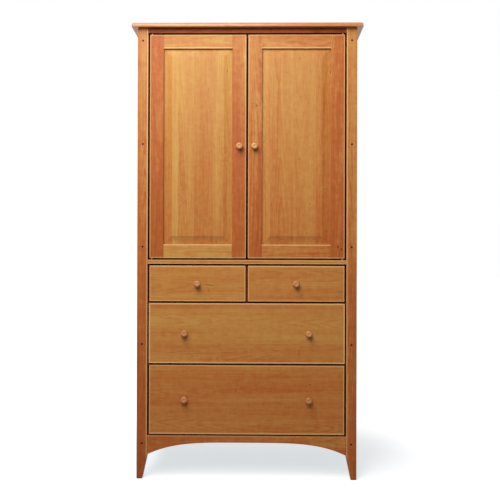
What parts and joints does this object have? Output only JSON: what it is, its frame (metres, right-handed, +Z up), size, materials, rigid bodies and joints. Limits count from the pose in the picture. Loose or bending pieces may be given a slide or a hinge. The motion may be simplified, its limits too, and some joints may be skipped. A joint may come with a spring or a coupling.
{
  "type": "armoire",
  "caption": "Solid wood armoire with raised panel doors over short and wide drawers, tapered feet and an arched apron.",
  "frame": {"origin": "on the floor, in the middle of the bounding box seen from above", "axes": "+Z up; +X to the right of a person who faces the doors; +Y into the cabinet, so the doors face -Y"},
  "size_m": [0.978, 0.5606, 1.93],
  "materials": {
    "cherry": "satin oil",
    "maple": "clear satin",
    "brass": "brushed"
  },
  "bodies": {
    "carcass": {"top": "cherry", "front_left_post": "cherry", "front_right_post": "cherry", "back_left_post": "cherry", "back_right_post": "cherry", "apron": "cherry", "middle_rail": "cherry", "top_rail": "cherry", "left_side_panel": "cherry", "right_side_panel": "cherry", "back_panel": "cherry", "wardrobe_floor": "cherry", "upper_dust_panel": "maple", "lower_dust_panel": "maple", "bottom_panel": "maple", "drawer_partition": "maple", "clothes_rod": "maple", "door_stop_strip": "cherry", "left_door_top_hinge_frame_leaf": "brass", "left_door_bottom_hinge_frame_leaf": "brass", "right_door_top_hinge_frame_leaf": "brass", "right_door_bottom_hinge_frame_leaf": "brass"},
    "left_door": {"left_door_hinge_stile": "cherry", "left_door_lock_stile": "cherry", "left_door_top_rail": "cherry", "left_door_bottom_rail": "cherry", "left_door_panel": "cherry", "left_door_knob": "cherry", "left_door_top_hinge_door_leaf": "brass", "left_door_bottom_hinge_door_leaf": "brass"},
    "right_door": {"right_door_hinge_stile": "cherry", "right_door_lock_stile": "cherry", "right_door_top_rail": "cherry", "right_door_bottom_rail": "cherry", "right_door_panel": "cherry", "right_door_knob": "cherry", "right_door_top_hinge_door_leaf": "brass", "right_door_bottom_hinge_door_leaf": "brass"},
    "top_left_drawer": {"top_left_drawer_front": "cherry", "top_left_drawer_box": "maple", "top_left_drawer_bottom": "maple", "top_left_drawer_knob": "cherry"},
    "top_right_drawer": {"top_right_drawer_front": "cherry", "top_right_drawer_box": "maple", "top_right_drawer_bottom": "maple", "top_right_drawer_knob": "cherry"},
    "middle_drawer": {"middle_drawer_front": "cherry", "middle_drawer_left_side": "maple", "middle_drawer_right_side": "maple", "middle_drawer_back": "maple", "middle_drawer_bottom": "maple", "middle_drawer_left_knob": "cherry", "middle_drawer_right_knob": "cherry"},
    "bottom_drawer": {"bottom_drawer_front": "cherry", "bottom_drawer_left_side": "maple", "bottom_drawer_right_side": "maple", "bottom_drawer_back": "maple", "bottom_drawer_bottom": "maple", "bottom_drawer_left_knob": "cherry", "bottom_drawer_right_knob": "cherry"}
  },
  "joints": [
    {"name": "left_door_hinge", "type": "hinge", "parent": "carcass", "child": "left_door", "pos_m": [-0.405, -0.24325, 1.408], "axis": [0, 0, -1], "range_deg": [0, 105]},
    {"name": "right_door_hinge", "type": "hinge", "parent": "carcass", "child": "right_door", "pos_m": [0.405, -0.24325, 1.408], "axis": [0, 0, 1], "range_deg": [0, 105]},
    {"name": "top_left_drawer_slide", "type": "slide", "parent": "carcass", "child": "top_left_drawer", "axis": [0, -1, 0], "range_m": [0, 0.4]},
    {"name": "top_right_drawer_slide", "type": "slide", "parent": "carcass", "child": "top_right_drawer", "axis": [0, -1, 0], "range_m": [0, 0.4]},
    {"name": "middle_drawer_slide", "type": "slide", "parent": "carcass", "child": "middle_drawer", "axis": [0, -1, 0], "range_m": [0, 0.4]},
    {"name": "bottom_drawer_slide", "type": "slide", "parent": "carcass", "child": "bottom_drawer", "axis": [0, -1, 0], "range_m": [0, 0.4]}
  ]
}
